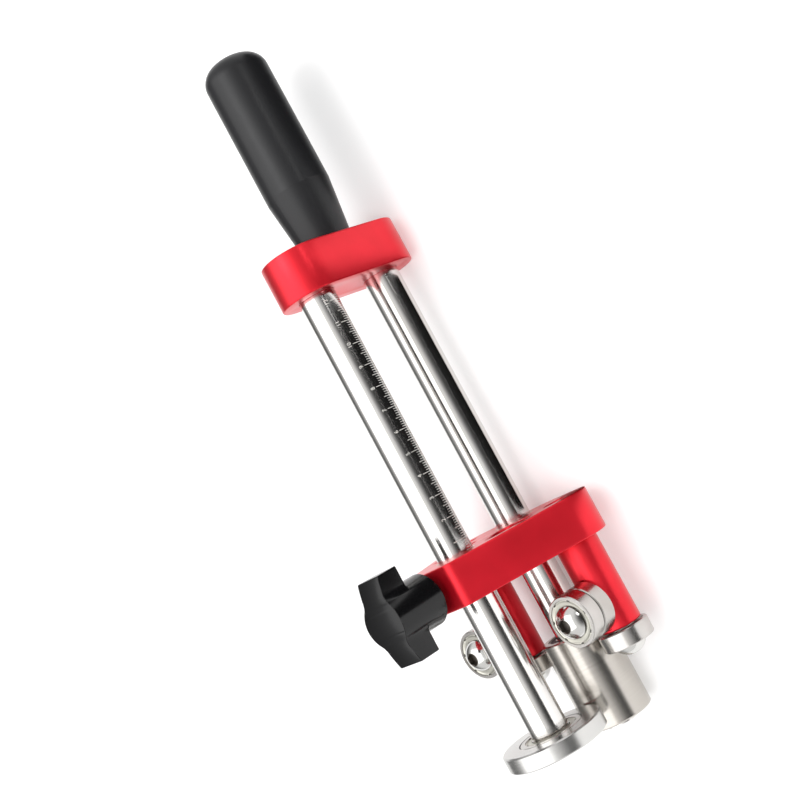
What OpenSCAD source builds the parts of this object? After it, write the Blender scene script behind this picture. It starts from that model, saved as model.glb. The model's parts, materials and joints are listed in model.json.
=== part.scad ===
// Sheet metal folder. X runs along the rods towards the rolling end, Z is up.
// The origin is at the middle of the carriage plate's underside, with the carriage pushed well forward.

/* [Rods] */
// Diameter of both guide rods
rod_d = 16; // [15.5:0.5:17]
// Diameter of the lower rod's turned end, the bore of the roller's bearings
journal_d = 15; // [14.6:0.1:15]
// Diameter of the upper rod's turned end, the bore of the disc's bearing
disc_journal_d = 12; // [11.5:0.1:12]
// Free rod between the end plate and the carriage plate
travel_back = 120; // [60:5:200]
// Free rod between the carriage plate and the folding disc
disc_reach = 61.5; // [60:0.5:80]
// Depth of the rod seats in the end plate
rod_seat_depth = 12; // [8:0.5:13]

/* [Folding disc and roller] */
// Diameter of the folding disc
disc_d = 44; // [40:0.5:48]
// Diameter of the folding roller
roller_d = 30; // [28:0.5:34]
// Length of the folding roller
roller_len = 40; // [34:1:46]
// Gap for the sheet between disc and roller
nip_gap = 1; // [0.6:0.1:2]
// How far the roller's front face stands in front of the disc
roller_lead = 6; // [2:0.5:8]
// How deep the roller's bearings sit below its end faces
roller_recess = 0.3; // [0.2:0.1:1]
// How far the lower rod's end stands out of the roller
shaft_out = 2.5; // [2:0.1:4]
// Edge chamfer of the disc and the roller
edge_chamfer = 0.6; // [0.2:0.1:1]

/* [End plate] */
// Thickness of the end plate
end_plate_t = 20; // [18:0.5:24]

/* [Handle] */
// Length of the grip
grip_len = 90; // [80:1:120]
// Diameter of the grip
grip_d = 29; // [26:0.5:33]
// Diameter of the grip where it meets the end plate
grip_neck_d = 23; // [20:0.5:25]
// Length of the grip's taper
grip_taper = 26; // [15:1:40]
// Radius of the grip's free end
grip_round = 8; // [4:0.5:12]
// Diameter of the steel core in the grip
core_d = 10; // [8:0.5:12]
// Length of the core inside the grip
core_in_grip = 60; // [40:1:70]
// Length of the core inside the end plate
core_in_plate = 14; // [8:1:16]

/* [Carriage plate] */
// Thickness of the carriage plate
carriage_t = 18; // [16:0.5:20]
// Height of the carriage plate
carriage_h = 74; // [73:0.5:78]
// Width of the flat foot
foot_w = 18; // [10:1:24]
// Corner radius at the foot
foot_r = 2; // [1:0.5:4]
// Corner radius at the arms
side_r = 14; // [12:0.5:16]
// Half the distance between the top corner centres
top_half = 12.5; // [10:0.5:16]
// Corner radius at the top
top_r = 5; // [3:0.5:7]
// Outer diameter of the rod bushes
bush_d = 18; // [17.5:0.5:19]
// Corner radius of the cut-outs
slot_r = 6; // [5:0.5:6.5]

/* [Arms] */
// Diameter of the arms
arm_d = 18; // [16:0.5:20]
// Length of the arms
arm_len = 38; // [37:0.5:42]
// Half the distance between the arms
arm_y = 29.5; // [29:0.5:33]
// Height of the arms
arm_z = 19; // [18.5:0.5:20]
// Depth of the flat under the stacked bearings
arm_flat = 0.5; // [0.2:0.1:1]
// Gap between the stacked bearings and the end bearing
stack_clear = 2; // [1.5:0.1:3]

/* [Guide bearings] */
// Bore of the guide bearings
guide_bore = 8; // [7.5:0.1:8]
// Outer diameter of the guide bearings
guide_od = 22; // [21:0.5:22]
// Width of the guide bearings
guide_w = 7; // [6.5:0.1:7.5]
// Gap between stacked bearings
stack_gap = 0.5; // [0.3:0.1:1]
// Thickness of the other washers
washer_t = 0.5; // [0.4:0.1:1]
// Thickness of the washer under the stack
stack_base_t = 1; // [0.6:0.1:1.5]

/* [Knob] */
// Diameter of the knob's hub
hub_d = 22; // [20:0.5:24]
// Height of the hub below the wing
hub_h = 13; // [10:0.5:16]
// Gap under the clamped hub
hub_gap = 2; // [1:0.5:4]
// Length of the wing
wing_len = 36; // [32:1:48]
// Width of the wing
wing_w = 14; // [11:0.5:16]
// Height of the wing at its ends
wing_h = 10; // [8:0.5:14]
// How much the wing's top is arched
wing_arch = 3; // [1:0.5:4]
// Diameter of the clamp stud
stud_d = 8; // [7:0.5:8]
// Height of the clamp pad
pad_h = 3; // [2:0.5:4]

/* [Hidden] */

// Facets of large, middle and small turned shapes
turned_fn = 96;
part_fn = 64;
small_fn = 32;
// Overrun of every cut
over = 1;
// Radial slack of a running fit, of a seat and of a thread
run_fit = 0.05;
seat_fit = 0.01;
thread_fit = 0.05;
// Small chamfer on turned edges
chamfer = 0.5;
// How far straight sides run inside the tangent of the arcs that they join
side_tuck = 0.002;
// Gap between the clamp pad and the rod
pad_gap = 0.2;

// Guide bearing, its balls and its shields
guide_inner_od = 12;
guide_outer_id = 19;
guide_ball_d = 3.8;
guide_balls = 7;
// Disc bearing
disc_bearing_od = 28;
disc_bearing_w = 7;
disc_inner_od = 16.8;
disc_outer_id = 23;
disc_ball_d = 4.4;
disc_ball_count = 9;
disc_bore_chamfer = 0.6;
// Roller bearings
roller_bearing_od = 24;
roller_bearing_w = 5;
roller_inner_od = 17.2;
roller_outer_id = 22.4;
roller_ball_d = 2.7;
roller_ball_count = 15;
roller_lip = 2;
// Slack round the balls, and shield sizes
ball_gap = 0.12;
shield_t = 0.3;
shield_sink = 0.3;
shield_gap = 0.2;
ring_chamfer = 0.4;

// Room past each screw's tip
screw_room = 0.5;
// Button head screws, which fill the guide bearings' bores
button_head_d = 14;
button_head_h = 4.4;
button_hex = 5;
button_hex_depth = 3;
stack_screw_grip = 12;
end_screw_grip = 7;
// Arm screws, M6 with a cylinder head
arm_screw_d = 6;
arm_screw_head_d = 10;
arm_screw_head_h = 6;
arm_screw_sink = 6.5;
arm_screw_grip = 12;
arm_screw_hex = 5;
arm_screw_hex_depth = 3;
// Rod end screws, M6 countersunk
rod_screw_d = 6;
rod_screw_head_d = 12;
rod_screw_hex = 4;
rod_screw_hex_depth = 2.2;
rod_screw_grip = 14;
// Countersunk screw that holds the disc's bearing by the chamfer of its bore
disc_screw_d = 8;
disc_screw_len = 20;
disc_screw_hex = 5;
disc_screw_hex_depth = 2.8;
disc_journal_sink = 1;
screw_sink = 0.1;
// Cone round the mouth of each hexagon socket
socket_cone = 0.8;
// Circlip of the lower rod
circlip_t = 1.2;
circlip_w = 1.9;
circlip_offset = 0.3;
circlip_groove = 0.4;
circlip_ear_d = 3.6;
circlip_ear_hole_d = 2;
circlip_ear_angle = 27;
circlip_gap_w = 4.4;
circlip_slack = 0.05;
// Washer diameter
washer_d = 11.4;
// Knob details
wing_edge_r = 0.5;
wing_fillet = 5;
hub_chamfer = 2;
stud_in_hub = 10;
pad_slack = 0.2;
// Cut-out corner centres as heights over the lower rod and distances from the middle
slot_low_z = 20.3;
slot_high_z = 28;
slot_inner_y = 13.3;
slot_outer_y = 23;
slot_top_y = 18;

// Places that follow from the sizes above
roller_lift = 0.5;
rod_pitch = disc_d / 2 + roller_d / 2 + nip_gap;
lower_z = roller_d / 2 + roller_lift;
upper_z = lower_z + rod_pitch;
mid_z = (lower_z + upper_z) / 2;
front_x = carriage_t / 2;
back_x = -carriage_t / 2;
end_in_x = back_x - travel_back;
end_out_x = end_in_x - end_plate_t;
disc_x = front_x + disc_reach;
disc_front_x = disc_x + disc_bearing_w;
disc_screw_head_d = disc_journal_d + 2 * (disc_bore_chamfer - screw_sink - seat_fit);
roller_front_x = disc_front_x + roller_lead;
roller_back_x = roller_front_x - roller_len;
roller_front_bearing_x = roller_front_x - roller_recess - roller_bearing_w;
roller_back_bearing_x = roller_back_x + roller_recess;
rod_start_x = end_in_x - rod_seat_depth;
arm_end_x = front_x + arm_len;
end_bearing_x = arm_end_x + washer_t;
stack_x = end_bearing_x - guide_od / 2 - stack_clear;
arm_top_z = arm_z + arm_d / 2 - arm_flat;
stack_z = arm_top_z + stack_base_t;
stack_step = guide_w + stack_gap;
stack_top_z = stack_z + guide_w + stack_step;
pad_z = upper_z + rod_d / 2 + pad_gap;
hub_z = carriage_h + hub_gap;
wing_z = hub_z + hub_h;

// A bearing as [bore, outer d, width, inner ring d, outer ring bore, ball d, balls, bore chamfer]
guide_bearing = [guide_bore, guide_od, guide_w, guide_inner_od, guide_outer_id,
    guide_ball_d, guide_balls, ring_chamfer];
disc_bearing = [disc_journal_d, disc_bearing_od, disc_bearing_w, disc_inner_od, disc_outer_id,
    disc_ball_d, disc_ball_count, disc_bore_chamfer];
roller_bearing = [journal_d, roller_bearing_od, roller_bearing_w, roller_inner_od, roller_outer_id,
    roller_ball_d, roller_ball_count, ring_chamfer];
function bore_of(b) = b[0];
function od_of(b) = b[1];
function width_of(b) = b[2];
function inner_od_of(b) = b[3];
function outer_id_of(b) = b[4];
function ball_of(b) = b[5];
function count_of(b) = b[6];
function bore_chamfer_of(b) = b[7];
function pitch_r(b) = (inner_od_of(b) + outer_id_of(b)) / 4;

// Cylinder along X from x, centred at y and z
module x_rod(d, len, x, y = 0, z = 0, fn = part_fn) {
    translate([x, y, z]) rotate([0, 90, 0]) cylinder(d = d, h = len, $fn = fn);
}

// Profile of radius against length, turned about X
module x_turned(x, y, z, profile, fn = turned_fn) {
    translate([x, y, z]) rotate([0, 90, 0]) rotate_extrude($fn = fn) polygon(profile);
}

// Hexagon socket with a cone at its mouth, cut down from z = 0
module hex_socket(across, depth) {
    cone_h = socket_cone + over;
    translate([0, 0, -depth]) cylinder(d = across / cos(30), h = depth + over, $fn = 6);
    translate([0, 0, -socket_cone])
        cylinder(d1 = across, d2 = across + 2 * cone_h, h = cone_h, $fn = small_fn);
}

// Ring of a bearing between two radii, with edges chamfered by c at one radius and a ball groove
module ring_profile(inner_r, outer_r, width, pitch, ball_r, c, outer) {
    difference() {
        if (outer)
            polygon([[inner_r, 0], [outer_r - c, 0], [outer_r, c], [outer_r, width - c],
                [outer_r - c, width], [inner_r, width]]);
        else
            polygon([[inner_r + c, 0], [outer_r, 0], [outer_r, width], [inner_r + c, width],
                [inner_r, width - c], [inner_r, c]]);
        translate([pitch, width / 2]) circle(r = ball_r, $fn = small_fn);
    }
}

module inner_ring(b) {
    rotate_extrude($fn = part_fn)
        ring_profile(bore_of(b) / 2, inner_od_of(b) / 2, width_of(b), pitch_r(b),
            ball_of(b) / 2 + ball_gap, bore_chamfer_of(b), false);
}

module outer_ring(b) {
    rotate_extrude($fn = turned_fn)
        ring_profile(outer_id_of(b) / 2, od_of(b) / 2, width_of(b), pitch_r(b),
            ball_of(b) / 2 + ball_gap, ring_chamfer, true);
}

module balls(b) {
    for (i = [0 : count_of(b) - 1])
        rotate([0, 0, i * 360 / count_of(b)])
            translate([pitch_r(b), 0, width_of(b) / 2]) sphere(d = ball_of(b), $fn = small_fn);
}

// Two thin discs that close the bearing and stay clear of the inner ring
module shields(b) {
    for (z = [shield_sink, width_of(b) - shield_sink - shield_t])
        translate([0, 0, z]) difference() {
            cylinder(d = outer_id_of(b), h = shield_t, $fn = turned_fn);
            translate([0, 0, -over])
                cylinder(d = inner_od_of(b) + 2 * shield_gap, h = shield_t + 2 * over, $fn = part_fn);
        }
}

// Button head screw: its head stands on z = 0 and its shank points down
module button_screw(shank) {
    dome_r = (pow(button_head_d / 2, 2) + pow(button_head_h, 2)) / (2 * button_head_h);
    difference() {
        union() {
            rotate_extrude($fn = part_fn) intersection() {
                square([button_head_d / 2, button_head_h]);
                translate([0, button_head_h - dome_r]) circle(r = dome_r, $fn = turned_fn * 2);
            }
            translate([0, 0, -shank])
                cylinder(d = guide_bore - 2 * thread_fit, h = shank + chamfer, $fn = part_fn);
        }
        translate([0, 0, button_head_h]) hex_socket(button_hex, button_hex_depth);
    }
}

// Washer standing on z = 0
module washer(d, bore, t) {
    difference() {
        cylinder(d = d, h = t, $fn = part_fn);
        translate([0, 0, -over]) cylinder(d = bore, h = t + 2 * over, $fn = part_fn);
    }
}

// Ends of the straight side between two circles [y, z, r], which are walked counterclockwise.
// It runs just inside their common tangent, so that it crosses both arcs.
function side_ends(a, b) =
    let (dy = b[0] - a[0], dz = b[1] - a[1], turn = asin((a[2] - b[2]) / norm([dy, dz])),
        n = atan2(dz, dy) - 90 + turn, ra = a[2] - side_tuck, rb = b[2] - side_tuck)
    [[a[0] + ra * cos(n), a[1] + ra * sin(n)], [b[0] + rb * cos(n), b[1] + rb * sin(n)]];

// Outline round circles [y, z, r] that are listed counterclockwise
module round_outline(circles) {
    last = len(circles) - 1;
    polygon([for (i = [0 : last]) each side_ends(circles[i], circles[i == last ? 0 : i + 1])]);
    for (c = circles) translate([c[0], c[1]]) circle(r = c[2], $fn = turned_fn);
}

// Extrude an outline given in Y and Z along X
module along_x(x, len) {
    translate([x, 0, 0]) rotate([90, 0, 90]) linear_extrude(len) children();
}

module for_sides() {
    for (side = [1, -1]) translate([0, side * arm_y, 0]) children();
}

// Rods with their turned ends and tapped holes
module upper_rod() {
    shoulder = disc_x - rod_start_x;
    tip = disc_front_x - disc_journal_sink - rod_start_x;
    r = rod_d / 2;
    jr = disc_journal_d / 2 - seat_fit;
    color("silver") difference() {
        x_turned(rod_start_x, 0, upper_z, [[0, 0], [r - chamfer, 0], [r, chamfer], [r, shoulder - chamfer],
            [r - chamfer, shoulder], [jr, shoulder], [jr, tip], [0, tip]]);
        x_rod(rod_screw_d, rod_screw_grip + over, rod_start_x - over, 0, upper_z, small_fn);
        x_rod(disc_screw_d, disc_screw_len, disc_front_x - disc_screw_len, 0, upper_z, small_fn);
        disc_screw_cone(thread_fit);
    }
}

// Conical head of the disc's screw, sunk just below the bearing's face
module disc_screw_cone(slack) {
    deep = (disc_screw_head_d - disc_screw_d) / 2;
    translate([disc_front_x - screw_sink - deep, 0, upper_z]) rotate([0, 90, 0])
        cylinder(d1 = disc_screw_d + 2 * slack, d2 = disc_screw_head_d + 2 * slack, h = deep, $fn = part_fn);
}

module lower_rod() {
    shoulder = roller_back_bearing_x - rod_start_x;
    tip = roller_front_x + shaft_out - rod_start_x;
    groove = roller_front_bearing_x + roller_bearing_w + circlip_slack - rod_start_x;
    r = rod_d / 2;
    jr = journal_d / 2 - seat_fit;
    gr = jr - circlip_groove;
    color("silver") difference() {
        x_turned(rod_start_x, 0, lower_z, [[0, 0], [r - chamfer, 0], [r, chamfer], [r, shoulder],
            [jr, shoulder], [jr, groove], [gr, groove], [gr, groove + circlip_t + circlip_slack],
            [jr, groove + circlip_t + circlip_slack], [jr, tip - chamfer], [jr - chamfer, tip], [0, tip]]);
        x_rod(rod_screw_d, rod_screw_grip + over, rod_start_x - over, 0, lower_z, small_fn);
    }
}

// Countersunk screws that pull the rods into the end plate
module rod_end_screws() {
    head_h = (rod_screw_head_d - rod_screw_d) / 2;
    head_x = end_out_x + screw_sink;
    floor_t = end_plate_t - rod_seat_depth;
    color("dimgray") for (z = [lower_z, upper_z]) difference() {
        union() {
            translate([head_x, 0, z]) rotate([0, 90, 0])
                cylinder(d1 = rod_screw_head_d, d2 = rod_screw_d - 2 * thread_fit, h = head_h, $fn = part_fn);
            x_rod(rod_screw_d - 2 * thread_fit, floor_t + rod_screw_grip - head_h - screw_room,
                end_out_x + head_h, 0, z, small_fn);
        }
        translate([head_x, 0, z]) rotate([0, -90, 0]) hex_socket(rod_screw_hex, rod_screw_hex_depth);
    }
}

// Oblong plate, rounded about both rods so that it rests on the floor that the carriage stands on
module end_plate() {
    head_h = (rod_screw_head_d - rod_screw_d) / 2;
    color("crimson") difference() {
        along_x(end_out_x, end_plate_t)
            round_outline([[0, lower_z, lower_z], [0, upper_z, lower_z]]);
        for (z = [lower_z, upper_z]) {
            x_rod(rod_d + 2 * seat_fit, rod_seat_depth + over, rod_start_x, 0, z, turned_fn);
            x_rod(rod_screw_d + 2 * thread_fit, end_plate_t, end_out_x - over, 0, z, small_fn);
            translate([end_out_x, 0, z]) rotate([0, 90, 0])
                cylinder(d1 = rod_screw_head_d + 2 * screw_sink, d2 = rod_screw_d,
                    h = head_h + screw_sink, $fn = part_fn);
        }
        x_rod(core_d + 2 * thread_fit, core_in_plate + over, end_out_x - over, 0, mid_z);
    }
}

// Grip with a straight body, a taper to the end plate and a rounded free end
module handle_grip() {
    r = grip_d / 2;
    neck = grip_neck_d / 2;
    color("black") difference() {
        translate([end_out_x, 0, mid_z]) rotate([0, -90, 0]) rotate_extrude($fn = turned_fn) union() {
            polygon([[0, 0], [neck, 0], [r, grip_taper], [r, grip_len - grip_round],
                [r - grip_round, grip_len - grip_round], [r - grip_round, grip_len], [0, grip_len]]);
            translate([r - grip_round, grip_len - grip_round]) intersection() {
                circle(r = grip_round, $fn = part_fn);
                square(grip_round);
            }
        }
        x_rod(core_d + 2 * thread_fit, core_in_grip + over, end_out_x - core_in_grip, 0, mid_z);
    }
}

module handle_core() {
    color("gray") x_turned(end_out_x - core_in_grip, 0, mid_z,
        [[0, 0], [core_d / 2 - chamfer, 0], [core_d / 2, chamfer],
        [core_d / 2, core_in_grip + core_in_plate - chamfer],
        [core_d / 2 - chamfer, core_in_grip + core_in_plate], [0, core_in_grip + core_in_plate]]);
}

// Bearing of the disc and its screw
module at_disc() {
    translate([disc_x, 0, upper_z]) rotate([0, 90, 0]) children();
}

module disc_inner_ring() color("silver") at_disc() inner_ring(disc_bearing);
module disc_outer_ring() color("silver") at_disc() outer_ring(disc_bearing);
module disc_balls() color("white") at_disc() balls(disc_bearing);
module disc_shields() color("gainsboro") at_disc() shields(disc_bearing);

module disc_screw() {
    deep = (disc_screw_head_d - disc_screw_d) / 2;
    shank = disc_screw_len - deep - screw_sink - screw_room;
    color("gainsboro") difference() {
        union() {
            disc_screw_cone(0);
            x_rod(disc_screw_d - 2 * thread_fit, shank, disc_front_x - disc_screw_len + screw_room,
                0, upper_z, small_fn);
        }
        translate([disc_front_x - screw_sink, 0, upper_z]) rotate([0, 90, 0])
            hex_socket(disc_screw_hex, disc_screw_hex_depth);
    }
}

module folding_disc() {
    r = disc_d / 2;
    bore = disc_bearing_od / 2;
    w = disc_bearing_w;
    c = edge_chamfer;
    color("lightgray") x_turned(disc_x, 0, upper_z, [[bore, 0], [r - c, 0], [r, c], [r, w - c],
        [r - c, w], [bore, w]]);
}

// Roller with a seat for a bearing at each end and a lip between them
module folding_roller() {
    r = roller_d / 2;
    seat = roller_bearing_od / 2;
    bore = seat - roller_lip;
    deep = roller_recess + roller_bearing_w;
    c = edge_chamfer;
    len = roller_len;
    color("lightgray") x_turned(roller_back_x, 0, lower_z, [[bore, deep], [seat, deep], [seat, 0],
        [r - c, 0], [r, c], [r, len - c], [r - c, len], [seat, len], [seat, len - deep],
        [bore, len - deep]]);
}

module at_roller() {
    for (x = [roller_back_bearing_x, roller_front_bearing_x])
        translate([x, 0, lower_z]) rotate([0, 90, 0]) children();
}

module roller_inner_rings() color("silver") at_roller() inner_ring(roller_bearing);
module roller_outer_rings() color("silver") at_roller() outer_ring(roller_bearing);
module roller_balls() color("white") at_roller() balls(roller_bearing);
module roller_seals() color("black") at_roller() shields(roller_bearing);

// Spring ring with two holed ears, narrower towards them, in the lower rod's groove
module roller_circlip() {
    groove_r = journal_d / 2 - circlip_groove;
    x = roller_front_bearing_x + roller_bearing_w + circlip_slack;
    ear_reach = groove_r + circlip_w;
    ear_turns = [circlip_ear_angle, -circlip_ear_angle];
    color("dimgray") along_x(x, circlip_t) translate([0, lower_z]) difference() {
        union() {
            translate([0, -circlip_offset])
                circle(r = groove_r + circlip_w - circlip_offset, $fn = turned_fn);
            for (a = ear_turns) rotate(a) translate([0, ear_reach])
                circle(d = circlip_ear_d, $fn = small_fn);
        }
        circle(r = groove_r, $fn = turned_fn);
        translate([-circlip_gap_w / 2, 0]) square([circlip_gap_w, roller_d / 2]);
        for (a = ear_turns) rotate(a) translate([0, ear_reach])
            circle(d = circlip_ear_hole_d, $fn = small_fn);
    }
}

// Carriage plate
module plate_outline() {
    foot_y = foot_w / 2;
    top_z = carriage_h - top_r;
    round_outline([[-foot_y, foot_r, foot_r], [foot_y, foot_r, foot_r], [arm_y, arm_z, side_r],
        [top_half, top_z, top_r], [-top_half, top_z, top_r], [-arm_y, arm_z, side_r]]);
}

module slot_outline() {
    low = lower_z + slot_low_z;
    high = lower_z + slot_high_z;
    round_outline([[slot_inner_y, low, slot_r], [slot_outer_y, low, slot_r], [slot_top_y, high, slot_r]]);
}

module carriage_plate() {
    color("crimson") difference() {
        along_x(back_x, carriage_t) plate_outline();
        for (m = [0, 1]) along_x(back_x - over, carriage_t + 2 * over) mirror([m, 0]) slot_outline();
        for (z = [lower_z, upper_z])
            x_rod(bush_d, carriage_t + 2 * over, back_x - over, 0, z, turned_fn);
        translate([0, 0, upper_z]) cylinder(d = stud_d, h = carriage_h - upper_z + over, $fn = part_fn);
        for_sides() {
            x_rod(arm_screw_d + 2 * thread_fit, carriage_t + 2 * over, back_x - over, 0, arm_z, small_fn);
            x_rod(arm_screw_head_d + 2 * pad_slack, arm_screw_sink + over, back_x - over, 0, arm_z);
        }
    }
}

module bush(z) {
    x_turned(back_x, 0, z, [[rod_d / 2 + run_fit, 0], [bush_d / 2 - seat_fit, 0],
        [bush_d / 2 - seat_fit, carriage_t], [rod_d / 2 + run_fit, carriage_t]]);
}

module upper_bush() {
    color("burlywood") difference() {
        bush(upper_z);
        translate([0, 0, upper_z]) cylinder(d = stud_d, h = carriage_h - upper_z, $fn = part_fn);
    }
}

module lower_bush() color("burlywood") bush(lower_z);

// Arm with a flat for its stack, a tapped hole for the stack's screw and one in each end
module arm(side) {
    color("crimson") translate([0, side * arm_y, 0]) difference() {
        x_turned(front_x, 0, arm_z, [[0, 0], [arm_d / 2, 0], [arm_d / 2, arm_len - chamfer],
            [arm_d / 2 - chamfer, arm_len], [0, arm_len]]);
        translate([stack_x - guide_od / 2, -arm_d / 2, arm_top_z]) cube([guide_od, arm_d, arm_d]);
        translate([stack_x, 0, arm_top_z - stack_screw_grip])
            cylinder(d = guide_bore, h = arm_d, $fn = part_fn);
        x_rod(guide_bore, end_screw_grip + over, arm_end_x - end_screw_grip, 0, arm_z);
        x_rod(arm_screw_d, arm_screw_grip + over, front_x - over, 0, arm_z, small_fn);
    }
}

module left_arm() arm(1);
module right_arm() arm(-1);

module arm_screws() {
    head_x = back_x + arm_screw_sink - arm_screw_head_h;
    shank = carriage_t - arm_screw_sink + arm_screw_grip - screw_room;
    color("dimgray") for_sides() difference() {
        union() {
            x_rod(arm_screw_head_d, arm_screw_head_h, head_x, 0, arm_z);
            x_rod(arm_screw_d - 2 * thread_fit, shank, head_x + arm_screw_head_h, 0, arm_z, small_fn);
        }
        translate([head_x, 0, arm_z]) rotate([0, -90, 0]) hex_socket(arm_screw_hex, arm_screw_hex_depth);
    }
}

// Guide bearings: level 0 and 1 on the stack, and the end bearing
module at_stack(side, level) {
    translate([stack_x, side * arm_y, stack_z + level * stack_step]) children();
}

module at_end(side) {
    translate([end_bearing_x, side * arm_y, arm_z]) rotate([0, 90, 0]) children();
}

module stack_ring(side, level) color("silver") at_stack(side, level) outer_ring(guide_bearing);
module stack_balls(side, level) color("white") at_stack(side, level) balls(guide_bearing);
module stack_shields(side, level) color("gainsboro") at_stack(side, level) shields(guide_bearing);
module end_ring(side) color("silver") at_end(side) outer_ring(guide_bearing);
module end_balls(side) color("white") at_end(side) balls(guide_bearing);
module end_shields(side) color("gainsboro") at_end(side) shields(guide_bearing);

module stack_inner_rings() {
    color("silver") for (side = [1, -1], level = [0, 1]) at_stack(side, level) inner_ring(guide_bearing);
}

module end_inner_rings() color("silver") for (side = [1, -1]) at_end(side) inner_ring(guide_bearing);

// A washer under each stack, one between its bearings and one under the screw head
module stack_washers() {
    heights = [[-stack_base_t, stack_base_t], [guide_w, stack_gap], [guide_w + stack_step, washer_t]];
    color("silver") for (side = [1, -1], h = heights)
        translate([stack_x, side * arm_y, stack_z + h[0]]) washer(washer_d, guide_bore, h[1]);
}

module end_washers() {
    color("silver") for (side = [1, -1], z = [-washer_t, guide_w])
        at_end(side) translate([0, 0, z]) washer(washer_d, guide_bore, washer_t);
}

module stack_screws() {
    head_z = stack_top_z + washer_t;
    color("gainsboro") for_sides()
        translate([stack_x, 0, head_z]) button_screw(head_z - arm_top_z + stack_screw_grip - screw_room);
}

module end_screws() {
    shank = guide_w + 2 * washer_t + end_screw_grip - screw_room;
    color("gainsboro") for (side = [1, -1])
        at_end(side) translate([0, 0, guide_w + washer_t]) button_screw(shank);
}

// Wing of the knob from above: a bar that swells round the hub through four fillets
module wing_outline() {
    half_w = wing_w / 2;
    end_y = half_w - wing_edge_r;
    end_x = wing_len / 2 - wing_edge_r;
    reach = sqrt(pow(hub_d / 2 + wing_fillet, 2) - pow(half_w + wing_fillet, 2));
    touch = hub_d / 2 / (hub_d / 2 + wing_fillet);
    round_outline([for (corner = [[-1, -1], [1, -1], [1, 1], [-1, 1]])
        [corner[0] * end_x, corner[1] * end_y, wing_edge_r]]);
    circle(d = hub_d, $fn = turned_fn);
    for (mx = [0, 1], my = [0, 1]) mirror([mx, 0]) mirror([0, my]) difference() {
        polygon([[0, 0], [reach, half_w], [reach, half_w + wing_fillet],
            [reach * touch, (half_w + wing_fillet) * touch]]);
        translate([reach, half_w + wing_fillet]) circle(r = wing_fillet, $fn = part_fn);
    }
}

// Knob with an arched wing along X, a hub and a blind hole for the stud
module knob_wing() {
    half = wing_len / 2;
    arch_r = (pow(half, 2) + pow(wing_arch, 2)) / (2 * wing_arch);
    wing_top = wing_h + wing_arch;
    color("black") difference() {
        union() {
            translate([0, 0, wing_z]) intersection() {
                linear_extrude(wing_top) wing_outline();
                translate([0, wing_len / 2, 0]) rotate([90, 0, 0]) linear_extrude(wing_len) intersection() {
                    translate([-half, 0]) square([wing_len, wing_top]);
                    translate([0, wing_top - arch_r]) circle(r = arch_r, $fn = turned_fn * 2);
                }
            }
            translate([0, 0, hub_z]) rotate_extrude($fn = turned_fn)
                polygon([[0, 0], [hub_d / 2 - hub_chamfer, 0], [hub_d / 2, hub_chamfer],
                    [hub_d / 2, hub_h + over], [0, hub_h + over]]);
        }
        translate([0, 0, hub_z - over])
            cylinder(d = stud_d - 2 * thread_fit, h = stud_in_hub + over, $fn = part_fn);
    }
}

module knob_stud() {
    low = pad_z + pad_h;
    top = hub_z + stud_in_hub;
    color("gray") translate([0, 0, low]) rotate_extrude($fn = part_fn)
        polygon([[0, 0], [stud_d / 2 - chamfer, 0], [stud_d / 2 - thread_fit, chamfer],
            [stud_d / 2 - thread_fit, top - low], [0, top - low]]);
}

// Pad whose lower face follows the rod
module clamp_pad() {
    color("goldenrod") difference() {
        translate([0, 0, upper_z])
            cylinder(d = stud_d - 2 * pad_slack, h = rod_d / 2 + pad_gap + pad_h, $fn = part_fn);
        x_rod(rod_d + 2 * pad_gap, stud_d + 2 * over, -stud_d / 2 - over, 0, upper_z, turned_fn);
    }
}

upper_rod();
lower_rod();
end_plate();
handle_grip();
handle_core();
rod_end_screws();
disc_inner_ring();
disc_screw();
roller_inner_rings();
roller_circlip();
folding_disc();
disc_outer_ring();
disc_balls();
disc_shields();
folding_roller();
roller_outer_rings();
roller_balls();
roller_seals();
carriage_plate();
upper_bush();
lower_bush();
left_arm();
right_arm();
arm_screws();
stack_inner_rings();
end_inner_rings();
stack_washers();
end_washers();
stack_screws();
end_screws();
stack_ring(1, 0);  // left_lower_ring
stack_balls(1, 0);  // left_lower_balls
stack_shields(1, 0);  // left_lower_shields
stack_ring(1, 1);  // left_upper_ring
stack_balls(1, 1);  // left_upper_balls
stack_shields(1, 1);  // left_upper_shields
stack_ring(-1, 0);  // right_lower_ring
stack_balls(-1, 0);  // right_lower_balls
stack_shields(-1, 0);  // right_lower_shields
stack_ring(-1, 1);  // right_upper_ring
stack_balls(-1, 1);  // right_upper_balls
stack_shields(-1, 1);  // right_upper_shields
end_ring(1);  // left_end_ring
end_balls(1);  // left_end_balls
end_shields(1);  // left_end_shields
end_ring(-1);  // right_end_ring
end_balls(-1);  // right_end_balls
end_shields(-1);  // right_end_shields
knob_wing();
knob_stud();
clamp_pad();
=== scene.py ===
"""Sheet metal folder, dressed for a plain studio picture.

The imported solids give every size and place. This script rounds the edges of the red
plates and the knob, turns the disc, cuts the clamp stud's thread, etches the rod's scale,
presses the bearing shields, moulds the roller's seals and gives each surface its finish.
All lengths are in metres.
"""

import json
import logging
import math
from dataclasses import dataclass
from enum import Enum

import bpy
from mathutils import Matrix, Vector


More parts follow.
